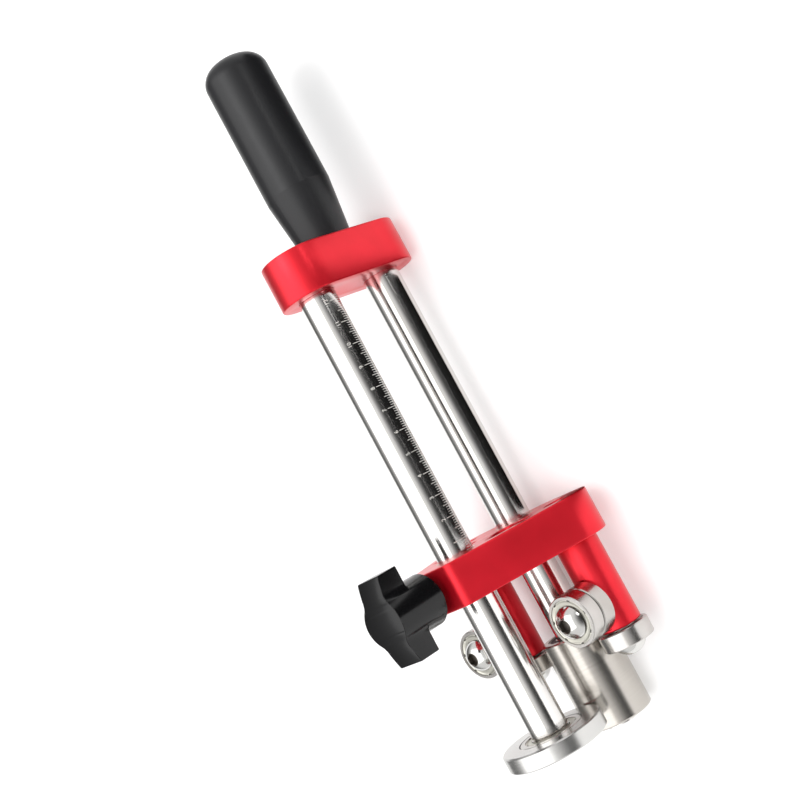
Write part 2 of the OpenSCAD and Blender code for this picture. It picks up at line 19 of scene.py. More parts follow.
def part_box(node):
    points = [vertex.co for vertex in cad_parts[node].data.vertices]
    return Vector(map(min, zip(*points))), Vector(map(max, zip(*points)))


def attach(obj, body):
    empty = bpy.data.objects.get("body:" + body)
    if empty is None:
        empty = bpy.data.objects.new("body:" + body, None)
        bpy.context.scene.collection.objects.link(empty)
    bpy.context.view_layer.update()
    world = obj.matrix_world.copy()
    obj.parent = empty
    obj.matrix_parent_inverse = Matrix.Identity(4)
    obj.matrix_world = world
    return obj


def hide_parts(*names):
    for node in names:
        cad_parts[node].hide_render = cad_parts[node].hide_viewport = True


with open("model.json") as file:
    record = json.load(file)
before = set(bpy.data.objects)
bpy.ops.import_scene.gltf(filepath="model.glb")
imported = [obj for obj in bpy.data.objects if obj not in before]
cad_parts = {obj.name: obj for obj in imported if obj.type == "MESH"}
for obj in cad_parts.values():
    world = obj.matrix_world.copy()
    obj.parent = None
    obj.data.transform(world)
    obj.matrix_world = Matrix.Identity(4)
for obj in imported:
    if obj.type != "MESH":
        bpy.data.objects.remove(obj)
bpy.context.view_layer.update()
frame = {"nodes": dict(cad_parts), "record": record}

LOG = logging.getLogger("sheet_metal_folder")
MM = 0.001

Point = tuple[float, float, float]
Colour = tuple[float, float, float, float]

# Places that several pieces share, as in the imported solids.
DISC_AXIS: Point = (74 * MM, 0.0, 53.5 * MM)
ROLLER_AXIS: Point = (63.5 * MM, 0.0, 15.5 * MM)
ARM_Y = 29.5 * MM
ARM_Z = 19 * MM
STACK_X = 34.5 * MM
BEARING_WIDTH = 7 * MM

# Where a tint's darker and lighter colours are reached on a pattern from 0 to 1.
TINT_STOPS = (0.25, 0.75)
# Points nearer than this are one point of a mesh.
WELD = 0.005 * MM
# Picture width in pixels, to which the camera's scale refers.
PICTURE = 800


class Side(Enum):
    """The tool's two sides, as seen from the handle."""

    LEFT = 1
    RIGHT = -1


class Axis(Enum):
    """The axis that a turned piece turns about, as a unit vector."""

    ALONG = (1.0, 0.0, 0.0)
    UP = (0.0, 0.0, 1.0)

    @property
    def across(self) -> Point:
        """Factors that keep only what lies across the axis."""
        x, y, z = self.value
        return (1.0 - x, 1.0 - y, 1.0 - z)


class Tick(Enum):
    """Lengths of the scale's marks round the rod, in millimetres."""

    ONE = 3.4
    FIVE = 4.6
    TEN = 5.8

    @classmethod
    def at(cls, millimetre: int) -> "Tick":
        """The rank of the mark at a whole millimetre."""
        if millimetre % 10 == 0:
            return cls.TEN
        return cls.FIVE if millimetre % 5 == 0 else cls.ONE


def linear(code: str) -> Colour:
    """Turn an sRGB hex colour to linear light.

    Args:
        code: Six hex digits, such as "c81e2d".

    Returns:
        Linear red, green and blue with an alpha of 1.
    """
    parts = [int(code[i : i + 2], 16) / 255 for i in (0, 2, 4)]
    red, green, blue = (p / 12.92 if p <= 0.04045 else ((p + 0.055) / 1.055) ** 2.4 for p in parts)
    return (red, green, blue, 1.0)


def add_node(
    tree: bpy.types.NodeTree,
    kind: str,
    values: dict | None = None,
    links: dict | None = None,
    **settings: object,
) -> bpy.types.Node:
    """Add one shader node with its settings, socket values and incoming links.

    Args:
        tree: The node tree that takes the node.
        kind: The node's type name.
        values: Socket name or number to constant value.
        links: Socket name or number to the output socket that feeds it.
        settings: The node's own properties.

    Returns:
        The new node.
    """
    node = tree.nodes.new(kind)
    for name, value in settings.items():
        setattr(node, name, value)
    for key, value in (values or {}).items():
        node.inputs[key].default_value = value
    for key, output in (links or {}).items():
        tree.links.new(output, node.inputs[key])
    return node


def ramp_stops(node: bpy.types.Node, stops: list[tuple[float, Colour]]) -> bpy.types.Node:
    """Give a colour ramp its stops.

    Args:
        node: The colour ramp.
        stops: Positions and colours in rising order, two or more.

    Returns:
        The same node.
    """
    elements = node.color_ramp.elements
    while len(elements) < len(stops):
        elements.new(0.5)
    for element, (place, colour) in zip(elements, stops):
        element.position = place
        element.color = colour
    return node


def grey(value: float) -> Colour:
    """A neutral colour of that linear value."""
    return (value, value, value, 1.0)


@dataclass(frozen=True)
class Finish:
    """What all finishes share: a name, a colour and a plain surface."""

    name: str
    colour: str
    roughness: float
    metallic: float = 1.0
    spread: float = 0.04

    @property
    def gloss(self) -> tuple[float, float]:
        """The least and the greatest roughness of the surface."""
        return (self.roughness - self.spread, self.roughness + self.spread)

    def shader(self) -> tuple[bpy.types.Material, bpy.types.NodeTree, bpy.types.Node]:
        """Make the material with its surface shader, its colour and its constants set."""
        material = bpy.data.materials.new(self.name)
        material.use_nodes = True
        tree = material.node_tree
        surface = tree.nodes["Principled BSDF"]
        surface.inputs["Base Color"].default_value = linear(self.colour)
        surface.inputs["Roughness"].default_value = self.roughness
        surface.inputs["Metallic"].default_value = self.metallic
        return material, tree, surface

    def coords(
        self,
        tree: bpy.types.NodeTree,
        scale: Point = (1.0, 1.0, 1.0),
        centre: Point = (0.0, 0.0, 0.0),
    ) -> bpy.types.NodeSocket:
        """Object coordinates, moved so that centre is at zero and then scaled.

        Args:
            tree: The material's node tree.
            scale: Factor along each axis.
            centre: The point of the object that becomes the pattern's middle.

        Returns:
            The vector output.
        """
        place = add_node(tree, "ShaderNodeTexCoord")
        moved = add_node(
            tree,
            "ShaderNodeMapping",
            {"Location": tuple(-c * s for c, s in zip(centre, scale)), "Scale": scale},
            {"Vector": place.outputs["Object"]},
        )
        return moved.outputs["Vector"]

    def vary(
        self,
        tree: bpy.types.NodeTree,
        surface: bpy.types.Node,
        source: bpy.types.NodeSocket,
        roughness: tuple[float, float],
        colours: tuple[str, str],
    ) -> None:
        """Let one pattern vary the roughness and the colour a little.

        Args:
            tree: The material's node tree.
            surface: The surface shader.
            source: The pattern, from 0 to 1.
            roughness: Roughness at 0 and at 1.
            colours: Colours at the two tint stops.
        """
        span = add_node(
            tree,
            "ShaderNodeMapRange",
            {"To Min": roughness[0], "To Max": roughness[1]},
            {"Value": source},
        )
        tree.links.new(span.outputs["Result"], surface.inputs["Roughness"])
        tint = add_node(tree, "ShaderNodeValToRGB", links={"Fac": source})
        ramp_stops(tint, [(place, linear(code)) for place, code in zip(TINT_STOPS, colours)])
        tree.links.new(tint.outputs["Color"], surface.inputs["Base Color"])

    def bump(
        self,
        tree: bpy.types.NodeTree,
        surface: bpy.types.Node,
        source: bpy.types.NodeSocket,
        height: float,
    ) -> None:
        """Raise the surface by a pattern.

        Args:
            tree: The material's node tree.
            surface: The surface shader.
            source: The pattern, from 0 to 1.
            height: Height of the pattern in metres.
        """
        raised = add_node(
            tree,
            "ShaderNodeBump",
            {"Strength": 1.0, "Distance": height},
            {"Height": source},
        )
        tree.links.new(raised.outputs["Normal"], surface.inputs["Normal"])


@dataclass(frozen=True)
class BlastedMetal(Finish):
    """Bead-blasted metal, dyed or plain: a fine even frost that spreads each highlight."""

    tints: tuple[str, str] = ("ffffff", "ffffff")
    grit: float = 0.25 * MM
    height: float = 0.012 * MM
    coat: float = 0.0
    cloud: float = 14 * MM

    def make(self) -> bpy.types.Material:
        """Frost from fine noise, and a faint cloud in the dye."""
        material, tree, surface = self.shader()
        surface.inputs["Coat Weight"].default_value = self.coat
        surface.inputs["Coat Roughness"].default_value = self.roughness
        frost = add_node(
            tree,
            "ShaderNodeTexNoise",
            {"Scale": 1 / self.grit, "Detail": 3.0, "Roughness": 0.6},
            {"Vector": self.coords(tree)},
        )
        cloud = add_node(
            tree,
            "ShaderNodeTexNoise",
            {"Scale": 1 / self.cloud, "Detail": 2.0},
            {"Vector": self.coords(tree)},
        )
        self.vary(tree, surface, cloud.outputs["Fac"], self.gloss, self.tints)
        self.bump(tree, surface, frost.outputs["Fac"], self.height)
        return material


@dataclass(frozen=True)
class GroundRod(Finish):
    """Centreless ground steel: hair-fine rings round the rod and soft streaks along it."""

    tints: tuple[str, str] = ("ffffff", "ffffff")
    ring: Point = (0.3 * MM, 40 * MM, 40 * MM)
    streak: Point = (60 * MM, 3 * MM, 3 * MM)
    depth: float = 0.004 * MM
    spread: float = 0.05

    def make(self) -> bpy.types.Material:
        """Rings that vary along X alone, and a slow drift of tone."""
        material, tree, surface = self.shader()
        rings = add_node(
            tree,
            "ShaderNodeTexNoise",
            {"Scale": 1.0, "Detail": 4.0, "Roughness": 0.7},
            {"Vector": self.coords(tree, tuple(1 / length for length in self.ring))},
        )
        drift = add_node(
            tree,
            "ShaderNodeTexNoise",
            {"Scale": 1.0, "Detail": 3.0},
            {"Vector": self.coords(tree, tuple(1 / length for length in self.streak))},
        )
        self.vary(tree, surface, drift.outputs["Fac"], self.gloss, self.tints)
        self.bump(tree, surface, rings.outputs["Fac"], self.depth)
        return material


@dataclass(frozen=True)
class TurnedMetal(Finish):
    """Lathe-turned metal: fine rings about one axis, which draw a highlight out to a fan."""

    tints: tuple[str, str] = ("ffffff", "ffffff")
    centre: Point = (0.0, 0.0, 0.0)
    axis: Axis = Axis.ALONG
    feed: float = 0.35 * MM
    depth: float = 0.006 * MM
    fan: float = 0.5
    spread: float = 0.06

    def make(self) -> bpy.types.Material:
        """Rings by distance from the axis and along it, and a tangent round the axis."""
        material, tree, surface = self.shader()
        across = self.coords(tree, self.axis.across, self.centre)
        radius = add_node(tree, "ShaderNodeVectorMath", links={0: across}, operation="LENGTH")
        span = add_node(
            tree,
            "ShaderNodeVectorMath",
            {1: self.axis.value},
            {0: self.coords(tree)},
            operation="DOT_PRODUCT",
        )
        path = add_node(
            tree,
            "ShaderNodeMath",
            links={0: radius.outputs["Value"], 1: span.outputs["Value"]},
            operation="SUBTRACT",
        )
        rings = add_node(
            tree,
            "ShaderNodeTexNoise",
            {"Scale": 1 / self.feed, "Detail": 3.0, "Roughness": 0.65},
            {"W": path.outputs["Value"]},
            noise_dimensions="1D",
        )
        self.vary(tree, surface, rings.outputs["Fac"], self.gloss, self.tints)
        self.bump(tree, surface, rings.outputs["Fac"], self.depth)
        surface.inputs["Anisotropic"].default_value = self.fan
        around = add_node(
            tree,
            "ShaderNodeVectorMath",
            {0: self.axis.value},
            {1: across},
            operation="CROSS_PRODUCT",
        )
        turned = add_node(
            tree,
            "ShaderNodeVectorTransform",
            links={"Vector": around.outputs["Vector"]},
            vector_type="VECTOR",
            convert_from="OBJECT",
            convert_to="WORLD",
        )
        tree.links.new(turned.outputs["Vector"], surface.inputs["Tangent"])
        return material


@dataclass(frozen=True)
class SocketScrew(Finish):
    """Cold-headed stainless screw: bright where it was tumbled, rougher in its socket, with painted
    shade darkening the socket.
    """

    centre: Point = (0.0, 0.0, 0.0)
    axis: Axis = Axis.ALONG
    socket: float = 2.95 * MM
    rim: float = 0.08 * MM
    # Colour of the painted shade in the socket.
    inside: str = "6b6660"
    dull: float = 0.45
    grit: float = 0.3 * MM
    height: float = 0.003 * MM

    def make(self) -> bpy.types.Material:
        """Bright metal that turns rougher within the socket's radius, with painted shade darkening
        it there, alike on both sides.
        """
        material, tree, surface = self.shader()
        place = add_node(tree, "ShaderNodeTexCoord")
        halved = add_node(
            tree,
            "ShaderNodeVectorMath",
            links={0: place.outputs["Object"]},
            operation="ABSOLUTE",
        )
        offset = add_node(
            tree,
            "ShaderNodeVectorMath",
            {1: self.centre},
            {0: halved.outputs["Vector"]},
            operation="SUBTRACT",
        )
        across = add_node(
            tree,
            "ShaderNodeVectorMath",
            {1: self.axis.across},
            {0: offset.outputs["Vector"]},
            operation="MULTIPLY",
        )
        radius = add_node(
            tree,
            "ShaderNodeVectorMath",
            links={0: across.outputs["Vector"]},
            operation="LENGTH",
        )
        inside = add_node(
            tree,
            "ShaderNodeMapRange",
            {"From Min": self.socket, "From Max": self.socket + self.rim},
            {"Value": radius.outputs["Value"]},
        )
        # Painted shade: within the socket's radius the colour falls to the darker socket colour,
        # and the roughness rises.
        self.vary(
            tree,
            surface,
            inside.outputs["Result"],
            (self.dull, self.roughness),
            (self.inside, self.colour),
        )
        frost = add_node(
            tree,
            "ShaderNodeTexNoise",
            {"Scale": 1 / self.grit, "Detail": 3.0},
            {"Vector": place.outputs["Object"]},
        )
        self.bump(tree, surface, frost.outputs["Fac"], self.height)
        return material


@dataclass(frozen=True)
class MouldedPlastic(Finish):
    """Injection-moulded plastic: a fine spark texture or a slight ripple, and soft sheen."""

    metallic: float = 0.0
    index: float = 1.52
    shine: float = 0.5
    grain: float = 0.35 * MM
    height: float = 0.01 * MM
    cloud: float = 12 * MM
    spread: float = 0.03

    def make(self) -> bpy.types.Material:
        """Fine grain for the bump and a slow cloud for the gloss."""
        material, tree, surface = self.shader()
        surface.inputs["IOR"].default_value = self.index
        surface.inputs["Specular IOR Level"].default_value = self.shine
        grain = add_node(
            tree,
            "ShaderNodeTexNoise",
            {"Scale": 1 / self.grain, "Detail": 3.0, "Roughness": 0.55},
            {"Vector": self.coords(tree)},
        )
        cloud = add_node(
            tree,
            "ShaderNodeTexNoise",
            {"Scale": 1 / self.cloud, "Detail": 2.0},
            {"Vector": self.coords(tree)},
        )
        least, most = self.gloss
        span = add_node(
            tree,
            "ShaderNodeMapRange",
            {"To Min": least, "To Max": most},
            {"Value": cloud.outputs["Fac"]},
        )
        tree.links.new(span.outputs["Result"], surface.inputs["Roughness"])
        self.bump(tree, surface, grain.outputs["Fac"], self.height)
        return material


# Bead-blasted and dyed aluminium under its sealed oxide: a deep red with a soft, pale sheen.
RED = BlastedMetal(
    "red_anodised_aluminium", "d61024", 0.34, 0.7, tints=("ce0d20", "dc1428"), coat=0.3
)
# Centreless ground bar: near to a mirror along the rod, so the room shows as long bands.
ROD = GroundRod("ground_steel", "dcdad7", 0.15, tints=("d2cfcb", "e4e2e0"))
# Finely faced steel: a pale, even grey with a fan of light about its middle.
DISC = TurnedMetal(
    "turned_disc_steel",
    "c6c5c3",
    0.24,
    tints=("bfbebb", "cbcac8"),
    centre=DISC_AXIS,
    depth=0.003 * MM,
)
# Turned stainless steel: a warmer grey with rings that draw its highlights out.
ROLLER = TurnedMetal(
    "turned_roller_steel",
    "b9b4ae",
    0.22,
    tints=("aaa49d", "c6c2bc"),
    centre=ROLLER_AXIS,
    fan=0.2,
)
# Ground and polished bearing steel: a greyer, slightly blurred mirror.
RING = BlastedMetal(
    "polished_bearing_steel", "bab7b3", 0.24, tints=("afaba6", "c4c1be"), height=0.003 * MM
)
# Lapped balls: a clear mirror with no grain at all.
BALL = BlastedMetal("lapped_ball_steel", "d8d8da", 0.08, tints=("d4d4d6", "dcdcde"), height=0.0)
# Pressed sheet steel: a dull, faintly yellow grey.
SHIELD = BlastedMetal(
    "pressed_shield_steel", "bcbab0", 0.33, tints=("b2b0a5", "c4c2b9"), height=0.006 * MM
)
# Stainless washers and stud: bright with a light frost.
SCREW = BlastedMetal(
    "stainless_screw_steel", "cfcfce", 0.2, tints=("c6c6c5", "d6d6d5"), height=0.003 * MM
)
# Tumbled screw heads: bright domes round a socket darkened by painted shade.
DISC_SCREW = SocketScrew("disc_screw_steel", "d2d1cf", 0.2, centre=DISC_AXIS, inside="45403b")
STACK_SCREW = SocketScrew(
    "stack_screw_steel", "cfcecb", 0.15, centre=(STACK_X, ARM_Y, 0.0), axis=Axis.UP
)
END_SCREW = SocketScrew("end_screw_steel", "cfcecb", 0.15, centre=(0.0, ARM_Y, ARM_Z))
# Painted shade: near-black oiled steel, put on faces beside a narrow gap to stand for the shade in
# it.
PAINTED_GAP_SHADE = BlastedMetal(
    "painted_gap_shade", "1c1b1a", 0.6, 0.3, tints=("161514", "232220"), height=0.0
)
# Black oxide on steel: near black with a dull metal sheen.
BLACK = BlastedMetal(
    "black_oxide_steel", "2a2a2c", 0.38, 0.8, tints=("232325", "303033"), height=0.004 * MM
)
# Stamped and tumbled spring steel: bright, with soft edges of light.
CLIP = BlastedMetal(
    "bright_spring_steel", "bdbdbd", 0.24, tints=("b2b2b2", "c8c8c8"), height=0.003 * MM
)
# Pressed and sized bronze powder: a pale, brownish grey.
BUSH = BlastedMetal(
    "sintered_bronze", "bdb19b", 0.3, tints=("b3a68e", "c7bca9"), height=0.005 * MM
)
# Moulded nitrile rubber: a black that hardly shines.
RUBBER = MouldedPlastic("nitrile_rubber", "17171a", 0.55, grain=0.5 * MM)
# Nylon from a spark-textured mould: a black whose highlights are broad and grey.
GRIP = MouldedPlastic(
    "satin_moulded_nylon", "141416", 0.38, shine=0.35, grain=0.3 * MM, height=0.008 * MM
)
# Nylon from a polished mould: a deep black with sharp highlights and a slight ripple.
KNOB = MouldedPlastic("gloss_moulded_nylon", "09090a", 0.18, shine=0.3, grain=1.2 * MM)
# Laser-etched steel: matt, pale marks on the bright rod.
ETCH = BlastedMetal(
    "etched_steel", "d9d7d0", 0.55, 0.35, tints=("cfcdc6", "e2e0da"), height=0.004 * MM
)

NODE_FINISHES: dict[str, Finish] = {
    "ground_steel": ROD,
    "turned_steel": DISC,
    "bearing_steel": RING,
    "ball_steel": BALL,
    "shield_steel": SHIELD,
    "screw_steel": SCREW,
    "black_steel": BLACK,
    "circlip_steel": CLIP,
    "red_anodised": RED,
    "bush_bronze": BUSH,
    "seal_rubber": RUBBER,
    "grip_plastic": GRIP,
    "knob_plastic": KNOB,
}

OWN_FINISHES: dict[str, Finish] = {
    "folding_roller": ROLLER,
    "disc_screw": DISC_SCREW,
    "stack_screws": STACK_SCREW,
    "end_screws": END_SCREW,
}


class Paintbox:
    """Makes each finish once and hands it out."""

    def __init__(self) -> None:
        """Start with nothing made."""
        self.made: dict[str, bpy.types.Material] = {}

    def give(self, finish: Finish) -> bpy.types.Material:
        """The finish's material, made at its first use."""
        if finish.name not in self.made:
            self.made[finish.name] = finish.make()
        return self.made[finish.name]

    def dress(self, obj: bpy.types.Object, finish: Finish) -> None:
        """Give an object that finish alone."""
        obj.data.materials.clear()
        obj.data.materials.append(self.give(finish))


def pick(*objects: bpy.types.Object) -> None:
    """Select these objects and no others, and make the first one active."""
    bpy.ops.object.select_all(action="DESELECT")
    for obj in objects:
        obj.select_set(True)
    bpy.context.view_layer.objects.active = objects[0]


def merged_copy(node: str, name: str, flat: float = 0.5) -> bpy.types.Object:
    """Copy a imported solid, with its loose triangles joined to whole faces.

    Args:
        node: The solid's name.
        name: The new piece's name.
        flat: Greatest angle between triangles of one face, in degrees.

    Returns:
        The new piece.
    """
    piece = bpy.data.objects.new(name, frame["nodes"][node].data.copy())
    bpy.context.scene.collection.objects.link(piece)
    pick(piece)
    if piece.data.has_custom_normals:
        bpy.ops.mesh.customdata_custom_splitnormals_clear()
    bpy.ops.object.mode_set(mode="EDIT")
    bpy.ops.mesh.select_all(action="SELECT")
    bpy.ops.mesh.remove_doubles(threshold=WELD)
    bpy.ops.mesh.dissolve_limited(angle_limit=math.radians(flat))
    bpy.ops.object.mode_set(mode="OBJECT")
    return piece


def round_edges(piece: bpy.types.Object, width: float, steps: int = 3, angle: float = 30.0) -> None:
    """Round every edge that is sharper than an angle.

    Args:
        piece: The piece.
        width: Width of the rounding.
        steps: Faces across it.
        angle: Least angle between an edge's faces, in degrees.
    """
    pick(piece)
    edge = piece.modifiers.new("edge", "BEVEL")
    edge.width = width
    edge.segments = steps
    edge.limit_method = "ANGLE"
    edge.angle_limit = math.radians(angle)
    edge.use_clamp_overlap = False
    bpy.ops.object.modifier_apply(modifier=edge.name)


def smooth(piece: bpy.types.Object, angle: float = 30.0) -> None:
    """Shade a piece smoothly across edges of less than an angle in degrees."""
    pick(piece)
    bpy.ops.object.shade_smooth_by_angle(angle=math.radians(angle))


def placed_copy(master: bpy.types.Object, name: str, place: Matrix) -> bpy.types.Object:
    """Copy a finished piece with its own mesh, and move the mesh.

    Args:
        master: The piece that is copied.
        name: The copy's name.
        place: Where the mesh goes.

    Returns:
        The copy.
    """
    mesh = master.data.copy()
    mesh.transform(place)
    if place.determinant() < 0:
        mesh.flip_normals()
    copy = bpy.data.objects.new(name, mesh)
    bpy.context.scene.collection.objects.link(copy)
    return copy


def corner_ring(name: str, corners: list[Point], fill: str = "NOTHING") -> bpy.types.Object:
    """Make a closed ring of edges, or one face, through given corners.

    Args:
        name: The piece's name.
        corners: The corners in order.
        fill: What fills the ring, in the operator's own words.

    Returns:
        The ring.
    """
    bpy.ops.object.select_all(action="DESELECT")
    bpy.ops.mesh.primitive_circle_add(vertices=len(corners), radius=MM, fill_type=fill)
    piece = bpy.context.object
    piece.name = name
    for vertex, corner in zip(piece.data.vertices, corners):
        vertex.co = corner
    return piece


def spun_section(name: str, section: list[tuple[float, float]], steps: int) -> bpy.types.Object:
    """Spin a closed section of radius and height once about Z.

    Args:
        name: The piece's name.
        section: The section's corners in order.
        steps: Faces round the axis.

    Returns:
        The closed piece.
    """
    piece = corner_ring(name, [(radius, 0.0, height) for radius, height in section])
    bpy.ops.object.mode_set(mode="EDIT")
    bpy.ops.mesh.select_all(action="SELECT")
    bpy.ops.mesh.spin(steps=steps, angle=math.tau, center=(0, 0, 0), axis=(0, 0, 1))
    bpy.ops.mesh.select_all(action="SELECT")
    bpy.ops.mesh.remove_doubles(threshold=WELD)
    bpy.ops.mesh.normals_make_consistent(inside=False)
    bpy.ops.object.mode_set(mode="OBJECT")
    return piece


def joined(pieces: list[bpy.types.Object], name: str) -> bpy.types.Object:
    """Join pieces to one object of that name."""
    pick(*pieces)
    if len(pieces) > 1:
        bpy.ops.object.join()
    pieces[0].name = name
    return pieces[0]


def discard(piece: bpy.types.Object) -> None:
    """Remove a master that has been copied."""
    bpy.data.objects.remove(piece, do_unlink=True)


def report(piece: bpy.types.Object) -> None:
    """Write a piece's name and its number of faces to the log."""
    LOG.info("%s: %d faces", piece.name, len(piece.data.polygons))


def hand_over(piece: bpy.types.Object, node: str, body: str) -> None:
    """Put a finished piece in a solid's place.

    Args:
        piece: The piece.
        node: The solid that it replaces.
        body: The body that carries it.
    """
    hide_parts(node)
    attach(piece, body)
    report(piece)


@dataclass
class Solids:
    """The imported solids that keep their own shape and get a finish."""

    paint: Paintbox

    def dress(self) -> None:
        """Give every solid the finish of its slot."""
        slots = {part["node"]: part["material_slot"] for part in frame["record"]["subparts"]}
        for name, node in frame["nodes"].items():
            finish = OWN_FINISHES.get(name, NODE_FINISHES[slots[name]])
            self.paint.dress(node, finish)
            LOG.info("%s: %s", name, finish.name)


@dataclass
class RedPlates:
    """End plate, carriage plate and arms, milled and tumbled before anodising."""

    paint: Paintbox
    edge: float = 0.6 * MM
    arm_edge: float = 0.4 * MM

    def build(self) -> None:
        """Round the edges of each red piece."""
        for node, name, width, body in (
            ("end_plate", "end_plate_rounded", self.edge, "root"),
            ("carriage_plate", "carriage_plate_rounded", self.edge, "carriage"),
            ("left_arm", "left_arm_rounded", self.arm_edge, "carriage"),
            ("right_arm", "right_arm_rounded", self.arm_edge, "carriage"),
        ):
            piece = merged_copy(node, name)
            round_edges(piece, width)
            smooth(piece)
            self.paint.dress(piece, RED)
            hand_over(piece, node, body)


@dataclass
class Disc:
    """The folding disc, its bore's edge broken and given painted shade, so that a dark line shows
    round the bearing.
    """

    paint: Paintbox
    radius: float = 22 * MM
    bore: float = 14 * MM
    half: float = 3.5 * MM
    chamfer: float = 0.6 * MM
    broken: float = 0.2 * MM
    soft: float = 0.03 * MM
    steps: int = 144

    def build(self) -> None:
        """Turn the disc and paint shade on the broken edges of its bore."""
        turned = spun_section("disc", self.section(), self.steps)
        place = Matrix.Translation(DISC_AXIS) @ Matrix.Rotation(math.pi / 2, 4, "Y")
        disc = placed_copy(turned, "folding_disc_eased", place)
        discard(turned)
        self.paint.dress(disc, DISC)
        disc.data.materials.append(self.paint.give(PAINTED_GAP_SHADE))
        # Painted shade: faces of the bore's broken edge take the dark gap finish.
        axis = Vector(DISC_AXIS)
        reach = [(vertex.co - axis).yz.length for vertex in disc.data.vertices]
        edge = self.bore + 1.1 * self.broken
        for face in disc.data.polygons:
            face.material_index = int(max(reach[corner] for corner in face.vertices) < edge)
        smooth(disc)
        hand_over(disc, "folding_disc", "disc")

    def section(self) -> list[tuple[float, float]]:
        """Corners of the disc's section, with short runs at its edges that keep the faces flat."""
        run = 4 * self.soft
        flat = self.radius - self.chamfer
        front = [
            (self.bore, self.half - self.broken),
            (self.bore + self.broken, self.half),
            (self.bore + self.broken + run, self.half),
            (flat - 2 * run, self.half),
            (flat - run, self.half),
            (flat, self.half - self.soft),
            (self.radius - self.soft, self.half - self.chamfer),
            (self.radius, self.half - self.chamfer - run),
            (self.radius, self.half - self.chamfer - 2 * run),
        ]
        return front + [(radius, -height) for radius, height in reversed(front)]


@dataclass
class Clamp:
    """The wing knob with its moulded edges, and its stud with a real thread."""

    paint: Paintbox
    edge: float = 0.35 * MM
    edge_steps: int = 3
    sharp: float = 50.0
    crest: float = 3.95 * MM
    depth: float = 0.68 * MM
    pitch: float = 1.25 * MM
    facets: int = 24

    def build(self) -> None:
        """Round the knob's edges and cut the stud's thread."""
        wing = merged_copy("knob_wing", "knob_wing_rounded")
        round_edges(wing, self.edge, self.edge_steps, self.sharp)
        smooth(wing)
        self.paint.dress(wing, KNOB)
        hand_over(wing, "knob_wing", "knob")
        self.stud()

    def stud(self) -> None:
        """Wind one pitch of the thread's section up the stud's whole length."""
        low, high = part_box("knob_stud")
        root = self.crest - self.depth
        section = (
            (root, 0.0),
            (root, 0.1),
            (self.crest, 0.45),
            (self.crest, 0.6),
            (root, 0.95),
            (root, 1.0),
        )
        stud = corner_ring(
            "clamp_stud_threaded",
            [(radius, 0.0, low[2] + share * self.pitch) for radius, share in section],
        )
        bpy.ops.object.mode_set(mode="EDIT")
        bpy.ops.mesh.select_all(action="DESELECT")
        bpy.ops.object.mode_set(mode="OBJECT")
        for edge in stud.data.edges:
            edge.select = set(edge.vertices) == {0, len(section) - 1}
        bpy.ops.object.mode_set(mode="EDIT")
        bpy.ops.mesh.select_mode(type="EDGE")
        bpy.ops.mesh.delete(type="EDGE")
        bpy.ops.mesh.select_mode(type="VERT")
        bpy.ops.object.mode_set(mode="OBJECT")
        wind = stud.modifiers.new("wind", "SCREW")
        wind.axis = "Z"
        wind.screw_offset = self.pitch
        wind.iterations = round((high[2] - low[2]) / self.pitch) - 1
        wind.steps = wind.render_steps = self.facets
        wind.use_merge_vertices = True
        wind.merge_threshold = WELD
        bpy.ops.object.modifier_apply(modifier=wind.name)
        bpy.ops.object.mode_set(mode="EDIT")
        bpy.ops.mesh.select_all(action="SELECT")
        bpy.ops.mesh.remove_doubles(threshold=WELD)
        bpy.ops.mesh.fill_holes(sides=0)
        bpy.ops.mesh.select_all(action="SELECT")
        bpy.ops.mesh.normals_make_consistent(inside=False)
        bpy.ops.object.mode_set(mode="OBJECT")
        smooth(stud)
        self.paint.dress(stud, SCREW)
        hand_over(stud, "knob_stud", "knob")


